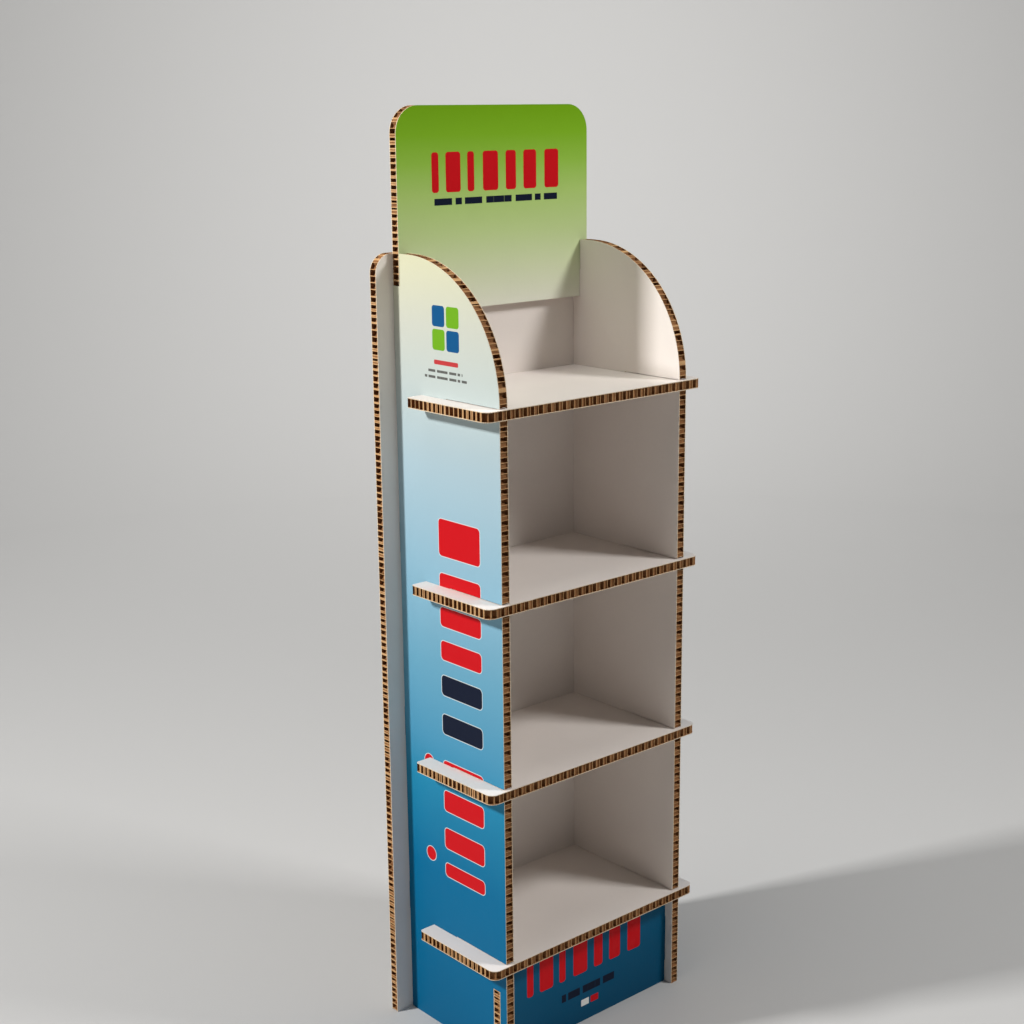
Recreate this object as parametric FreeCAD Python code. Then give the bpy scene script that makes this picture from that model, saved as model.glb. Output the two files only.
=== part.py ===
"""Free-standing display stand that slots together from flat honeycomb boards.

Millimetres, +Z up. The front faces -Y and +X is to the right of someone who faces it.
The origin is on the floor, at the centre of the stand's footprint.
"""
import FreeCAD, Part

import math
import os

from FreeCAD import Vector

# ---- Driving dimensions ------------------------------------------------------------

board = 16.0  # thickness of every board
slot_clearance = 1.0  # how much wider and longer a slot is than the board in it

stand_width = 400.0  # over the outer faces of the two sides
side_depth = 250.0  # from the back panel to the front edges of the sides
crown_height = 214.0  # sides above the top shelf; they are rounded all the way up

shelf_count = 4
lowest_shelf_top = 180.0
shelf_pitch = 300.0
shelf_overhang = 6.0  # shelf fronts ahead of the front edges of the sides
lip_width = 30.5  # shelf lips beyond the outer faces of the sides
lip_rear_gap = 66.0  # from the back panel to the rear ends of the lips
lip_front_radius = 13.0
lip_rear_radius = 5.0
side_slot_length = 125.0  # how far a shelf's slot runs back from a side's front edge

wing_width = 33.0  # back panel beyond the outer faces of the sides
wing_radius = 30.0

tab_count = 4  # tabs of each side that pass through the back panel
tab_height = 50.0
lowest_tab_centre = 210.0
highest_tab_drop = 139.0  # from the tops of the sides to the centre of the highest tab

header_rise = 222.0  # header above the tops of the sides
header_radius = 42.0
notch_depth = 50.0  # from the tops of the sides to the floor that the header sits on
tongue_length = 45.0  # header tongue below that floor

kick_setback = 16.0  # kick panel behind the front edges of the sides
kick_head_gap = 1.0  # under the lowest shelf
kick_tab_height = 85.0
kick_tab_bottom = 40.0

shortest_edge = 0.001  # two arcs closer than this meet with no straight edge between them

# ---- Places that follow from them --------------------------------------------------

slot_width = board + slot_clearance
margin = slot_clearance / 2  # on each side of a board in its slot

half_width = stand_width / 2  # outer faces of the sides
half_inner = half_width - board  # inner faces of the sides
half_back = half_width + wing_width
half_shelf = half_width + lip_width

footprint_depth = board + side_depth + shelf_overhang
back_rear = footprint_depth / 2
back_front = back_rear - board
side_front = back_front - side_depth
shelf_front = side_front - shelf_overhang
lip_rear = back_front - lip_rear_gap
lap_line = side_front + side_slot_length  # where the slots of side and shelf meet

shelf_tops = [lowest_shelf_top + shelf_pitch * step for step in range(shelf_count)]
side_top = shelf_tops[-1] + crown_height
seat = side_top - notch_depth
header_top = side_top + header_rise
notch_front = back_front - slot_width
crown_radius = min(crown_height, notch_front - side_front)

tab_pitch = (side_top - highest_tab_drop - lowest_tab_centre) / (tab_count - 1)
tab_centres = [lowest_tab_centre + tab_pitch * step for step in range(tab_count)]

kick_front = side_front + kick_setback
kick_top = lowest_shelf_top - board - kick_head_gap


# ---- How a board is cut ------------------------------------------------------------


def rounded_corner(before, corner, after, radius):
    """The first point, the middle and the last point of the arc that rounds a corner."""
    back = (before - corner).normalize()
    ahead = (after - corner).normalize()
    half_angle = back.getAngle(ahead) / 2
    run = radius / math.tan(half_angle)
    inward = (back + ahead).normalize()
    middle = corner + inward * (radius / math.sin(half_angle) - radius)
    return corner + back * run, middle, corner + ahead * run


def cut_board(corners, place, thickness):
    """A flat board from the (u, v, radius) corners of its outline.

    place turns u and v into a point on one face, and thickness is the vector across the board.
    """
    points = [place(u, v) for u, v, radius in corners]
    starts = []
    ends = []
    arcs = []
    for index, (u, v, radius) in enumerate(corners):
        corner = points[index]
        if not radius:
            starts.append(corner)
            ends.append(corner)
            continue
        after = points[(index + 1) % len(points)]
        first, middle, last = rounded_corner(points[index - 1], corner, after, radius)
        arcs.append(Part.Arc(first, middle, last).toShape())
        starts.append(first)
        ends.append(last)
    lines = []
    for index, start in enumerate(starts):
        if start.distanceToPoint(ends[index - 1]) > shortest_edge:
            lines.append(Part.makeLine(ends[index - 1], start))
    outline = Part.Wire(Part.__sortEdges__(lines + arcs))
    return Part.Face(outline).extrude(thickness)


def box_between(low, high):
    """A box from its lowest corner to its highest."""
    size = high - low
    return Part.makeBox(size.x, size.y, size.z, low)


# ---- The boards --------------------------------------------------------------------


def side(inner_x, outer_x):
    """Upright with a quarter-round top, shelf slots, rear tabs and a notch for the header."""
    low_x = min(inner_x, outer_x)
    corners = [
        (side_front, 0, 0),
        (side_front, side_top, crown_radius),
        (notch_front, side_top, 0),
        (notch_front, seat, 0),
        (back_front, seat, 0),
    ]
    for centre in reversed(tab_centres):
        upper = centre + tab_height / 2
        lower = centre - tab_height / 2
        corners += [(back_front, upper, 0), (back_rear, upper, 0)]
        corners += [(back_rear, lower, 0), (back_front, lower, 0)]
    corners.append((back_front, 0, 0))
    upright = cut_board(corners, lambda y, z: Vector(low_x, y, z), Vector(board, 0, 0))
    for top in shelf_tops:
        low = Vector(low_x, side_front, top - board)
        high = Vector(low_x + board, lap_line, top + slot_clearance)
        upright = upright.cut(box_between(low, high))
    kick_rear = kick_front + board
    low = Vector(low_x, kick_front - margin, kick_tab_bottom - margin)
    high = Vector(low_x + board, kick_rear + margin, kick_tab_bottom + kick_tab_height + margin)
    return upright.cut(box_between(low, high))


def back_panel():
    """Wide board behind the sides, with a slot for each of their tabs."""
    corners = [
        (-half_back, 0, 0),
        (half_back, 0, 0),
        (half_back, side_top, wing_radius),
        (-half_back, side_top, wing_radius),
    ]
    panel = cut_board(corners, lambda x, z: Vector(x, back_front, z), Vector(0, board, 0))
    reach = tab_height / 2 + margin
    for side_low in (-half_width, half_inner):
        for centre in tab_centres:
            low = Vector(side_low - margin, back_front, centre - reach)
            high = Vector(side_low + board + margin, back_rear, centre + reach)
            panel = panel.cut(box_between(low, high))
    return panel


def shelf(top):
    """Board with lips beyond both sides and two slots open to the rear for the sides."""
    slot_outer = half_width + margin
    slot_inner = half_inner - margin
    right_half = [
        (half_shelf, shelf_front, lip_front_radius),
        (half_shelf, lip_rear, lip_rear_radius),
        (slot_outer, lip_rear, 0),
        (slot_outer, lap_line, 0),
        (slot_inner, lap_line, 0),
        (slot_inner, back_front, 0),
    ]
    left_half = [(-x, y, radius) for x, y, radius in reversed(right_half)]
    bottom = top - board
    corners = right_half + left_half
    return cut_board(corners, lambda x, y: Vector(x, y, bottom), Vector(0, 0, board))


def header_panel():
    """T-shaped board: wide above the notches, with a tongue down between the sides."""
    half_tongue = half_inner - margin
    corners = [
        (half_width, header_top, header_radius),
        (-half_width, header_top, header_radius),
        (-half_width, seat, 0),
        (-half_tongue, seat, 0),
        (-half_tongue, seat - tongue_length, 0),
        (half_tongue, seat - tongue_length, 0),
        (half_tongue, seat, 0),
        (half_width, seat, 0),
    ]
    front = back_front - board
    return cut_board(corners, lambda x, z: Vector(x, front, z), Vector(0, board, 0))


def kick_panel():
    """Plinth front between the sides, with a tab through each of them."""
    half_kick = half_inner - margin
    tab_top = kick_tab_bottom + kick_tab_height
    right_half = [
        (half_kick, 0, 0),
        (half_kick, kick_tab_bottom, 0),
        (half_width, kick_tab_bottom, 0),
        (half_width, tab_top, 0),
        (half_kick, tab_top, 0),
        (half_kick, kick_top, 0),
    ]
    left_half = [(-x, z, radius) for x, z, radius in reversed(right_half)]
    corners = right_half + left_half
    return cut_board(corners, lambda x, z: Vector(x, kick_front, z), Vector(0, board, 0))


# ---- Build -------------------------------------------------------------------------

nodes = {
    "back_panel": back_panel(),
    "left_side": side(-half_inner, -half_width),
    "right_side": side(half_inner, half_width),
    "header_panel": header_panel(),
    "kick_panel": kick_panel(),
}
for number, top in enumerate(reversed(shelf_tops), start=1):
    nodes[f"shelf_{number}"] = shelf(top)

os.makedirs("parts", exist_ok=True)
for name, shape in nodes.items():
    shape.exportStep(f"parts/{name}.step")
    box = shape.BoundBox
    print(name, shape.isValid(), len(shape.Solids), f"{shape.Volume:.0f} mm3")
    print("   ", f"x {box.XMin:.1f} {box.XMax:.1f}  y {box.YMin:.1f} {box.YMax:.1f}  z {box.ZMin:.1f} {box.ZMax:.1f}")
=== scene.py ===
import math
from collections import namedtuple

import bmesh
import bpy
from mathutils import Matrix, Vector, noise


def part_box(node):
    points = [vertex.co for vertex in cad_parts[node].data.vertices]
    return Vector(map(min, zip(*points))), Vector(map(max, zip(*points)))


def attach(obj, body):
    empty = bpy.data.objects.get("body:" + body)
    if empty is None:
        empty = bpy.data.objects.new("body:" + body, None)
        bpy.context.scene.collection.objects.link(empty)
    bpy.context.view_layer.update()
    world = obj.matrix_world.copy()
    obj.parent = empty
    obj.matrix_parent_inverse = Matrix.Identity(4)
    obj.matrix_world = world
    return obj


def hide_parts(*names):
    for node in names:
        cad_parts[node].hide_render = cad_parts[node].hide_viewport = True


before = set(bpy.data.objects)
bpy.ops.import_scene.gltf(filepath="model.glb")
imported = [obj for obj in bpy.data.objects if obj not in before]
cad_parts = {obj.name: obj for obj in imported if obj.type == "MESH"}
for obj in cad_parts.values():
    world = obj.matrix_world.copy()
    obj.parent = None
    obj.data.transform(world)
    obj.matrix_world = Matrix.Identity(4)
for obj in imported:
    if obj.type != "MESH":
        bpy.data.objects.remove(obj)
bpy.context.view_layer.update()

MM = 0.001
X, Y, Z = range(3)

# ---------------------------------------------------------------- the boards

FACING = 1.1 * MM          # paper skin on each flat of a board
CELL_PITCH = 8.0 * MM      # from one column of cells to the next
CELL_WIDTH = 10.4 * MM     # from one cell to its neighbour in a column
CELL_SHARE = 0.915         # of the room a cell has, the rest is paper wall
CRUSH = 1.6 * MM           # how far the paper cells stray from a true honeycomb
CRUSH_SPAN = 34 * MM       # and over what length they stray together

# thin is the axis through a board, rows the axis that its rows of cells are stacked along,
# and low and high name its two flats, with the paper each one has.
Board = namedtuple("Board", "node slot thin rows low high")
Flat = namedtuple("Flat", "name paper")

WHITE, SIDE_WHITE = "white_paper", "side_white_paper"
SIDE_PRINT, HEADER_PRINT, KICK_PRINT = "side_print", "header_print", "kick_print"

BOARDS = [
    Board("back_panel", "plain_board", Y, X, Flat("front", WHITE), Flat("rear", WHITE)),
    Board("left_side", "printed_side_board", X, Z,
          Flat("outer", SIDE_PRINT), Flat("inner", SIDE_WHITE)),
    Board("right_side", "printed_side_board", X, Z,
          Flat("inner", SIDE_WHITE), Flat("outer", SIDE_PRINT)),
    Board("header_panel", "printed_header_board", Y, X,
          Flat("front", HEADER_PRINT), Flat("rear", WHITE)),
    Board("kick_panel", "printed_kick_board", Y, X,
          Flat("front", KICK_PRINT), Flat("rear", WHITE)),
] + [
    Board(f"shelf_{n}", "plain_board", Z, X, Flat("under", WHITE), Flat("top", WHITE))
    for n in (1, 2, 3, 4)
]


def choose(piece):
    """Selects this object alone and makes it active."""
    bpy.ops.object.select_all(action="DESELECT")
    piece.select_set(True)
    bpy.context.view_layer.objects.active = piece


def merged_copy(board, name):
    """A new object with the board's own shape, its loose triangles merged."""
    piece = bpy.data.objects.new(name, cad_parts[board.node].data.copy())
    bpy.context.scene.collection.objects.link(piece)
    choose(piece)
    bpy.ops.object.mode_set(mode="EDIT")
    bpy.ops.mesh.select_mode(type="VERT")
    bpy.ops.mesh.select_all(action="SELECT")
    bpy.ops.mesh.remove_doubles(threshold=0.01 * MM)
    bpy.ops.object.mode_set(mode="OBJECT")
    return piece


def finish_with(piece, *finishes):
    """Gives a piece these materials, in the order of its faces' material numbers."""
    piece.data.materials.clear()
    for finish in finishes:
        piece.data.materials.append(finish)


def place(piece, board):
    """Hangs the piece on the root body and hides the board's own part, which the piece stands in for."""
    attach(piece, "root")
    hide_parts(board.node)


def make_facing(board, flat, side, paper):
    """A paper facing: one flat of the board, with its windows and slots, given a thickness."""
    piece = merged_copy(board, f"{board.node}_{flat.name}_facing")
    for face in piece.data.polygons:
        face.material_index = 0
        face.use_smooth = False
    bpy.ops.object.mode_set(mode="EDIT")
    bpy.ops.mesh.select_mode(type="FACE")
    bpy.ops.mesh.select_all(action="DESELECT")
    shell = bmesh.from_edit_mesh(piece.data)
    for face in shell.faces:
        face.select_set(face.normal[board.thin] * side < 0.9)
    bmesh.update_edit_mesh(piece.data)
    bpy.ops.mesh.delete(type="FACE")
    bpy.ops.object.mode_set(mode="OBJECT")
    sheet = piece.modifiers.new("paper", "SOLIDIFY")
    sheet.thickness = FACING
    sheet.offset = -1
    sheet.material_offset_rim = 1
    sheet.material_offset = 2
    # The facing's back takes the darker kraft, painted shade where it shows inside the open cells.
    finish_with(piece, paper, FINISHES["paper_edge"], FINISHES["kraft_wall_painted_shade"])
    bpy.ops.object.modifier_apply(modifier=sheet.name)
    place(piece, board)
    return piece


def make_cell():
    """One paper cell as a closed six-sided block: X across the cell, Y from tip to tip."""
    bpy.ops.object.select_all(action="DESELECT")
    bpy.ops.mesh.primitive_cylinder_add(vertices=6, radius=1, depth=1, end_fill_type="NGON")
    cell = bpy.context.object
    bpy.ops.object.mode_set(mode="EDIT")
    bpy.ops.mesh.select_all(action="SELECT")
    across = CELL_WIDTH / 2 / math.cos(math.radians(30)) * CELL_SHARE
    tip = CELL_PITCH / 1.5 * CELL_SHARE
    bpy.ops.transform.resize(value=(across, tip, 24 * MM), center_override=(0, 0, 0))
    bpy.ops.object.mode_set(mode="OBJECT")
    return cell


def cells_on_the_outline(board, core, cell):
    """Copies of the cell wherever the board's outline cuts through a cell of its core."""
    lowest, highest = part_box(board.node)
    across = 3 - board.thin - board.rows
    middle = (lowest[board.thin] + highest[board.thin]) / 2
    depth = 1.0

    def put(row, cross, through):
        point = Vector((0, 0, 0))
        point[board.rows], point[across], point[board.thin] = row, cross, through
        return point

    def strayed(point):
        drift = noise.noise_vector((point + Vector((7.3, 2.9, 4.1))) / CRUSH_SPAN) * CRUSH
        drift += noise.noise_vector((point + Vector((1.7, 5.9, 8.1))) / (CRUSH_SPAN / 4)) * CRUSH * 0.35
        drift[board.thin] = 0
        return point + drift

    def on_the_board(point):
        origin = point.copy()
        origin[board.thin] = middle + depth
        towards = put(0, 0, -1)
        return core.ray_cast(origin, towards)[0]

    corners = [v.co.copy() for v in cell.data.vertices]
    cut = bmesh.new()
    rows = math.ceil((highest[board.rows] - lowest[board.rows]) / CELL_PITCH) + 2
    columns = math.ceil((highest[across] - lowest[across]) / CELL_WIDTH) + 2
    for i in range(rows):
        for j in range(columns):
            row = lowest[board.rows] + (i - 0.6) * CELL_PITCH
            cross = lowest[across] + (j - 0.8 + 0.5 * (i % 2)) * CELL_WIDTH
            spots = [strayed(put(row + c.y, cross + c.x, middle)) for c in corners]
            inside = [on_the_board(spot) for spot in spots[:12:2]]
            if any(inside) and not all(inside):
                first = len(cut.verts)
                cut.from_mesh(cell.data)
                cut.verts.ensure_lookup_table()
                for vert, spot, corner in zip(cut.verts[first:], spots, corners):
                    vert.co = spot
                    vert.co[board.thin] = middle + corner.z
    cut.normal_update()
    bmesh.ops.recalc_face_normals(cut, faces=cut.faces)
    mesh = bpy.data.meshes.new("cells")
    cut.to_mesh(mesh)
    cut.free()
    cells = bpy.data.objects.new("cells", mesh)
    bpy.context.scene.collection.objects.link(cells)
    return cells


def make_core(board, cell):
    """The honeycomb core: the board without its skins, opened cell by cell along every cut edge."""
    core = merged_copy(board, f"{board.node}_core")
    for face in core.data.polygons:
        face.material_index = 0
        face.use_smooth = False
    lowest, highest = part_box(board.node)
    thickness = highest[board.thin] - lowest[board.thin]
    squeeze = [1, 1, 1]
    squeeze[board.thin] = (thickness - 2 * FACING) / thickness
    bpy.ops.object.mode_set(mode="EDIT")
    bpy.ops.mesh.select_all(action="SELECT")
    bpy.ops.transform.resize(value=squeeze, center_override=(lowest + highest) / 2)
    bpy.ops.object.mode_set(mode="OBJECT")
    bpy.context.view_layer.update()
    cells = cells_on_the_outline(board, core, cell)
    # The cut rims take the lighter kraft, a painted highlight, and the cell walls the darker kraft,
    # painted shade.
    for piece in (core, cells):
        finish_with(piece, FINISHES["cut_paper_painted_highlight"], FINISHES["kraft_wall_painted_shade"])
    for face in cells.data.polygons:
        face.material_index = 1
    choose(core)
    opening = core.modifiers.new("open_cells", "BOOLEAN")
    opening.operation = "DIFFERENCE"
    opening.solver = "MANIFOLD"
    opening.object = cells
    bpy.ops.object.modifier_apply(modifier=opening.name)
    bpy.data.objects.remove(cells)
    place(core, board)
    return core


# ------------------------------------------------------------- the finishes

def linear(red, green, blue):
    """A colour given as 0 to 255 screen values, as the linear colour that a shader takes."""
    shares = [c / 255 for c in (red, green, blue)]
    return tuple(s / 12.92 if s <= 0.04045 else ((s + 0.055) / 1.055) ** 2.4 for s in shares) + (1,)


class Flow:
    """A socket of a finish, so that its maths reads as ordinary expressions."""

    def __init__(self, finish, socket):
        self.finish, self.socket = finish, socket

    def maths(self, operation, *values):
        return self.finish.node("Math", {"operation": operation}, dict(enumerate(values)))

    def __add__(self, other):
        return self.maths("ADD", self, other)

    def __sub__(self, other):
        return self.maths("SUBTRACT", self, other)

    def __rsub__(self, other):
        return self.maths("SUBTRACT", other, self)

    def __mul__(self, other):
        return self.maths("MULTIPLY", self, other)

    def __truediv__(self, other):
        return self.maths("DIVIDE", self, other)

    def __pow__(self, other):
        return self.maths("POWER", self, other)

    def __abs__(self):
        return self.maths("ABSOLUTE", self)

    __radd__, __rmul__ = __add__, __mul__

    def above(self, limit):
        """This value, or the limit where the value is lower."""
        return self.maths("MAXIMUM", self, limit)

    def below(self, limit):
        """This value, or the limit where the value is higher."""
        return self.maths("MINIMUM", self, limit)

    def fading(self, full, gone):
        """1 where this value is at full, 0 where it is at gone, and a smooth step between."""
        return self.finish.node("MapRange", {"interpolation_type": "SMOOTHSTEP"}, {
            "Value": self, "From Min": gone, "From Max": full})


class Finish:
    """One material, built node by node."""

    def __init__(self, name):
        self.material = bpy.data.materials.new(name)
        self.material.use_nodes = True
        self.tree = self.material.node_tree
        self.tree.nodes.clear()
        self.spot = self.node("TexCoord", {}, {}, "Object")
        self.x, self.y, self.z = (self.node("SeparateXYZ", {}, {0: self.spot}, axis) for axis in "XYZ")

    def node(self, kind, settings, inputs, output=0):
        """Adds a node, sets its settings and then its sockets, and gives back one of its outputs."""
        made = self.tree.nodes.new("ShaderNode" + kind)
        for name, setting in settings.items():
            if name == "stops":
                for n, (at, colour) in enumerate(setting):
                    stop = made.color_ramp.elements[n] if n < 2 else made.color_ramp.elements.new(at)
                    stop.position, stop.color = at, colour
            else:
                setattr(made, name, setting)
        for name, value in inputs.items():
            if isinstance(value, Flow):
                self.tree.links.new(value.socket, made.inputs[name])
            else:
                made.inputs[name].default_value = value
        return Flow(self, made.outputs[output]) if made.outputs else made

    def noise(self, scale, detail=3, roughness=0.5, stretch=(1, 1, 1)):
        """Cloudy noise, centred on 0, from about -1 to 1. Scale is in lumps a metre."""
        spot = self.node("VectorMath", {"operation": "MULTIPLY"}, {0: self.spot, 1: stretch})
        cloud = self.node("TexNoise", {}, {
            "Vector": spot, "Scale": scale, "Detail": detail, "Roughness": roughness}, "Fac")
        return (cloud - 0.5) * 3.2

    def mix(self, share, first, second):
        """The first colour, turning to the second where share is 1."""
        return self.node("Mix", {"data_type": "RGBA"}, {0: share, 6: first, 7: second}, 2)

    def tint(self, colour, strength):
        """The colour made lighter or darker by a strength around 1."""
        return self.node("VectorMath", {"operation": "SCALE"}, {0: colour, "Scale": strength})

    def surface(self, colour, roughness, height, depth, gloss=0.3):
        """Puts the finish together: its colour, its roughness, and a relief of that depth."""
        relief = self.node("Bump", {}, {"Height": height, "Distance": depth, "Strength": 1.0})
        shader = self.node("BsdfPrincipled", {}, {
            "Base Color": colour, "Roughness": roughness, "Normal": relief,
            "Specular IOR Level": gloss})
        self.node("OutputMaterial", {}, {"Surface": shader})
        return self.material


EDGE_OF_INK = 0.3 * MM


def bar(u, v, left, right, low, high, corner=2 * MM):
    """How far outside a rounded bar a spot lies, on the two coordinates given. Inside it is below 0."""
    beyond_u = (abs(u - (left + right) / 2) - ((right - left) / 2 - corner)).above(0)
    beyond_v = (abs(v - (low + high) / 2) - ((high - low) / 2 - corner)).above(0)
    return (beyond_u * beyond_u + beyond_v * beyond_v) ** 0.5 - corner


def blocks(u, v, spans, low, high, corner):
    """How far outside the nearest of a row of rounded blocks, each from one u to another, in mm."""
    bars = [bar(u, v, left * MM, right * MM, low, high, corner) for left, right in spans]
    nearest = bars[0]
    for other in bars[1:]:
        nearest = nearest.below(other)
    return nearest


def printed(distance, swell=0.0):
    """Mask of the ink within that distance, or with an outline of that much more."""
    return distance.fading(swell - EDGE_OF_INK, swell + EDGE_OF_INK)


def paper_relief(finish, rows):
    """Fibres of the paper, and the cells of the core showing faintly through it."""
    cell = [1 / CELL_WIDTH] * 3
    cell[rows] = 1 / CELL_PITCH
    spot = finish.node("VectorMath", {"operation": "MULTIPLY"}, {0: finish.spot, 1: cell})
    walls = finish.node("TexVoronoi", {"feature": "F1"}, {
        "Vector": spot, "Scale": 1.0, "Randomness": 0.35}, "Distance")
    return finish.noise(900, 3, 0.6) * 0.12 + walls * 0.5 + finish.noise(9, 2) * 1.5


def white_paper(name, rows):
    """Uncoated white liner: warm white, faintly cloudy and fibrous."""
    finish = Finish(name)
    cloud = finish.noise(6, 3)
    fibres = finish.noise(420, 4, 0.65, (1, 1, 0.35))
    base = finish.mix(cloud * 0.5 + 0.5, linear(227, 218, 211), linear(234, 226, 219))
    return finish.surface(
        finish.tint(base, fibres * 0.012 + 1), cloud * 0.04 + 0.62, paper_relief(finish, rows), 0.16 * MM)


def inked(finish, colour, rows, roughness=0.46):
    """Printed paper: the ink's colour with the fibres and cells of the board under it."""
    fibres = finish.noise(420, 4, 0.65, (1, 1, 0.35))
    return finish.surface(
        finish.tint(colour, fibres * 0.010 + 1), finish.noise(60, 3) * 0.03 + roughness,
        paper_relief(finish, rows), 0.13 * MM, 0.12)


RED, NAVY = linear(206, 10, 22), linear(12, 22, 44)


def dashes(finish, u, v, left, right, low, high, pitch):
    """Mask of a thin line broken into dashes of uneven length."""
    beat = finish.node("Math", {"operation": "SINE"}, {0: u * (2 * math.pi / pitch)})
    wander = finish.node("Math", {"operation": "SINE"}, {0: u * (2 * math.pi / (pitch * 2.7)) + 1.0})
    line = printed(bar(u, v, left, right, low, high, 0.8 * MM))
    return line * (beat + wander * 0.6).fading(-0.75, -0.85)


def header_print():
    """Green that fades down to a pale grey-green, with a row of red blocks over a broken line."""
    finish = Finish("header_print")
    height = (finish.z - 1.199) / 0.317
    ground = finish.node("ValToRGB", {"stops": [
        (0.0, linear(226, 226, 208)), (1.0, linear(114, 166, 6)), (0.19, linear(212, 221, 180)),
        (0.38, linear(194, 215, 146)), (0.57, linear(174, 205, 112)), (0.72, linear(148, 193, 70)),
        (0.86, linear(127, 179, 32))]}, {0: height})
    row = printed(blocks(finish.x, finish.z, [(-132, -118), (-104, -74), (-60, -46), (-28, 4),
                                              (20, 42), (58, 86), (104, 135)], 1.383, 1.445, 5 * MM))
    line = dashes(finish, finish.x, finish.z, -0.134, 0.132, 1.3635, 1.374, 0.021)
    return inked(finish, finish.mix(line, finish.mix(row, ground, RED), NAVY), X)


def kick_print():
    """Deep blue, painted darker than the side's deep blue and darker still towards the floor as painted
    shade, with a row of red blocks and a small dark line under it.
    """
    finish = Finish("kick_print")
    # The ground is painted shade: the side's deep blue made darker for a panel low in the shade of the
    # bottom shelf, deepest at the floor.
    ground = finish.node("ValToRGB", {"stops": [
        (0.0, linear(0, 76, 110)), (1.0, linear(0, 88, 124))]}, {0: finish.z / 0.163})
    row = printed(blocks(finish.x, finish.z, [(-142, -128), (-114, -84), (-70, -56), (-38, -6),
                                              (10, 30), (46, 72), (90, 121)], 0.091, 0.150, 5 * MM))
    line = dashes(finish, finish.x, finish.z, -0.069, 0.058, 0.052, 0.066, 0.016)
    small = printed(bar(finish.x, finish.z, -0.020, -0.002, 0.028, 0.040, 1 * MM))
    last = printed(bar(finish.x, finish.z, 0.002, 0.020, 0.028, 0.040, 1 * MM))
    colour = finish.mix(line, finish.mix(row, ground, RED), NAVY)
    return inked(finish, finish.mix(last, finish.mix(small, colour, linear(235, 235, 230)), RED), X)


def side_print():
    """Cream that fades down to deep blue, with a small square emblem and a column of red blocks."""
    finish = Finish("side_print")
    ground = finish.node("ValToRGB", {"stops": [
        (0.0, linear(0, 98, 140)), (1.0, linear(214, 212, 178)), (0.22, linear(0, 108, 152)),
        (0.34, linear(34, 134, 172)), (0.40, linear(76, 150, 184)), (0.50, linear(106, 166, 192)),
        (0.62, linear(142, 184, 203)), (0.75, linear(172, 196, 205)), (0.85, linear(192, 202, 198)),
        (0.92, linear(202, 204, 190))]}, {0: finish.z / 1.294})
    column = blocks(finish.z, finish.y, [(282, 306), (332, 368), (398, 434), (460, 486), (658, 690),
                                         (714, 746), (770, 802), (830, 890)], -0.080, 0.020, 7 * MM)
    for low in (0.297, 0.461):
        column = column.below(bar(finish.y, finish.z, 0.045, 0.069, low, low + 0.024, 11.9 * MM))
    dark = blocks(finish.z, finish.y, [(532, 566), (598, 632)], -0.080, 0.020, 7 * MM)
    colour = finish.mix(printed(column.below(dark), 1.2 * MM), ground, linear(214, 222, 222))
    colour = finish.mix(printed(column), colour, RED)
    colour = finish.mix(printed(dark), colour, NAVY)
    for ink, squares in ((linear(110, 168, 30), ((-0.039, 1.190), (-0.005, 1.154))),
                         (linear(16, 84, 134), ((-0.005, 1.190), (-0.039, 1.154)))):
        for left, low in squares:
            square = bar(finish.y, finish.z, left, left + 0.030, low, low + 0.032, 5 * MM)
            colour = finish.mix(printed(square), colour, ink)
    dash = printed(bar(finish.y, finish.z, -0.036, 0.022, 1.132, 1.139, 2 * MM))
    colour = finish.mix(dash, colour, linear(190, 60, 62))
    lines = dashes(finish, finish.y, finish.z, -0.046, 0.038, 1.1195, 1.1235, 0.010)
    lines = lines + dashes(finish, finish.y, finish.z, -0.056, 0.047, 1.1100, 1.1140, 0.010)
    return inked(finish, finish.mix(lines, colour, linear(96, 96, 92)), Z)


def kraft(name, pale, dark, roughness):
    """Brown paper of the core, with its fibres and flecks."""
    finish = Finish(name)
    streaks = finish.noise(260, 4, 0.7, (1, 1, 1))
    flecks = finish.noise(1400, 2, 0.6)
    patches = finish.noise(38, 2)
    base = finish.mix(streaks * 0.35 + patches * 0.45 + 0.5, dark, pale)
    return finish.surface(finish.tint(base, flecks * 0.05 + 1), flecks * 0.04 + roughness,
                          streaks + flecks * 0.4, 0.10 * MM)


FINISHES = {
    WHITE: white_paper(WHITE, X),
    SIDE_WHITE: white_paper(SIDE_WHITE, Z),
    SIDE_PRINT: side_print(),
    HEADER_PRINT: header_print(),
    KICK_PRINT: kick_print(),
    "paper_edge": kraft("paper_edge", linear(236, 220, 194), linear(216, 192, 158), 0.8),
    # The two kraft tones below are one paper in a lit and a shaded copy: the core's cut rims are painted
    # lighter, a painted highlight where cut edges catch the light, and the cell walls and facing backs
    # inside the open cells are painted darker, painted shade.
    "cut_paper_painted_highlight": kraft("cut_paper_painted_highlight", linear(216, 174, 124), linear(182, 134, 84), 0.85),
    "kraft_wall_painted_shade": kraft("kraft_wall_painted_shade", linear(166, 118, 74), linear(120, 76, 40), 0.85),
}

# ------------------------------------------------------- putting it together

cell = make_cell()
for board in BOARDS:
    make_facing(board, board.low, -1, FINISHES[board.low.paper])
    make_facing(board, board.high, 1, FINISHES[board.high.paper])
    make_core(board, cell)
bpy.data.objects.remove(cell)

# ------------------------------------------------------------- the studio

FLOOR_RADIUS = 3.9   # of the level part of the floor
SWEEP = 4.2          # radius of the curve that joins it to the backdrop


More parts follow.
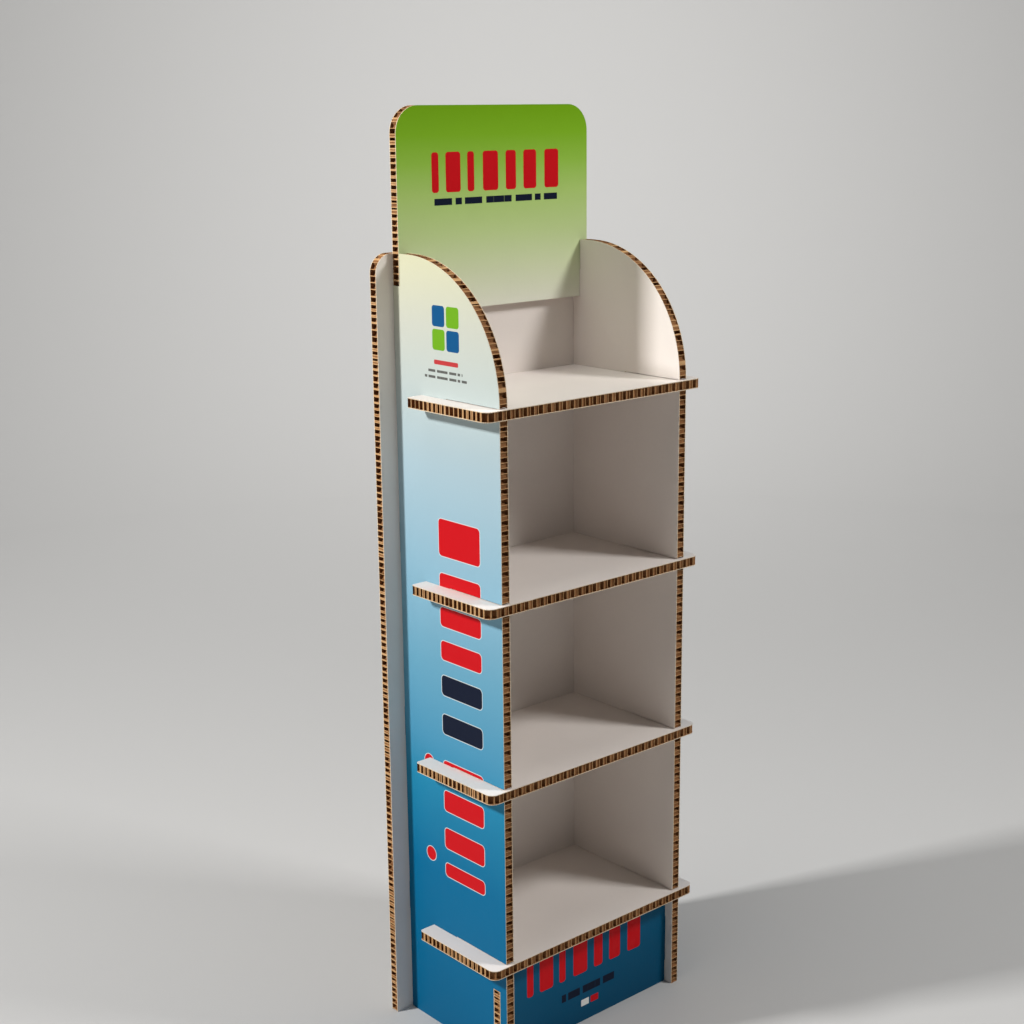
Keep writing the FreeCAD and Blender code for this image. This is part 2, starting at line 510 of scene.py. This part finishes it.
def make_stage(paper):
    """A round pale floor that sweeps up into a backdrop all round."""
    bpy.ops.object.select_all(action="DESELECT")
    sweep = [(FLOOR_RADIUS + SWEEP * math.sin(math.radians(turn)),
              SWEEP - SWEEP * math.cos(math.radians(turn))) for turn in range(0, 91, 6)]
    bpy.ops.mesh.primitive_circle_add(vertices=96, radius=FLOOR_RADIUS, fill_type="NGON")
    floor = bpy.context.object
    floor.name = "studio_floor"
    bpy.ops.object.mode_set(mode="EDIT")
    bpy.ops.mesh.select_mode(type="FACE")
    for (radius, height), (next_radius, next_height) in zip(sweep, sweep[1:]):
        bpy.ops.mesh.extrude_region_move(TRANSFORM_OT_translate={"value": (0, 0, next_height - height)})
        spread = next_radius / radius
        bpy.ops.transform.resize(value=(spread, spread, 1), center_override=(0, 0, 0))
    bpy.ops.mesh.delete(type="FACE")
    bpy.ops.object.mode_set(mode="OBJECT")
    for face in floor.data.polygons:
        face.use_smooth = face.center.z > 0
    finish_with(floor, paper)


STUDIO_PAPER = Finish("studio_paper")
make_stage(STUDIO_PAPER.surface(
    linear(196, 195, 193), STUDIO_PAPER.noise(3) * 0.02 + 0.85, STUDIO_PAPER.noise(200), 0.05 * MM))

world = bpy.data.worlds.new("studio")
bpy.context.scene.world = world
world.use_nodes = True
world.node_tree.nodes["Background"].inputs["Color"].default_value = (0.80, 0.81, 0.83, 1)
world.node_tree.nodes["Background"].inputs["Strength"].default_value = 0.06


def make_lamp(name, at, towards, size, power):
    """A square soft lamp at one point, aimed at another."""
    bpy.ops.object.light_add(type="AREA", location=at)
    lamp = bpy.context.object
    lamp.name = name
    lamp.data.shape = "SQUARE"
    lamp.data.size = size
    lamp.data.energy = power
    lamp.visible_camera = False
    lamp.rotation_euler = (Vector(towards) - Vector(at)).to_track_quat("-Z", "Y").to_euler()
    return lamp


make_lamp("key_lamp", (-3.55, 1.50, 3.24), (0, 0, 0.9), 0.42, 200)
make_lamp("fill_lamp", (1.52, -2.16, 3.24), (0, 0, 0.9), 0.70, 72)
make_lamp("top_lamp", (-0.5, -0.05, 3.5), (0, 0, 1.0), 1.2, 20)
make_lamp("backdrop_lamp", (2.6, 3.0, 4.2), (4.9, 5.6, 0.6), 2.0, 150)

# ------------------------------------------------------------- the camera

CAMERA_PLACE = (-1.73725, -1.92428, 1.50577)
CAMERA_YAW, CAMERA_PITCH, CAMERA_ROLL = 0.71554, -0.24066, -0.01067
bpy.ops.object.camera_add()
camera = bpy.context.object
camera.name = "studio_camera"
camera.matrix_world = (Matrix.Translation(CAMERA_PLACE) @ Matrix.Rotation(-CAMERA_YAW, 4, "Z")
                       @ Matrix.Rotation(math.pi / 2 + CAMERA_PITCH, 4, "X")
                       @ Matrix.Rotation(CAMERA_ROLL, 4, "Z"))
camera.data.sensor_width = 36
camera.data.lens = 57.44
bpy.context.scene.camera = camera
bpy.context.scene.view_settings.view_transform = "Standard"
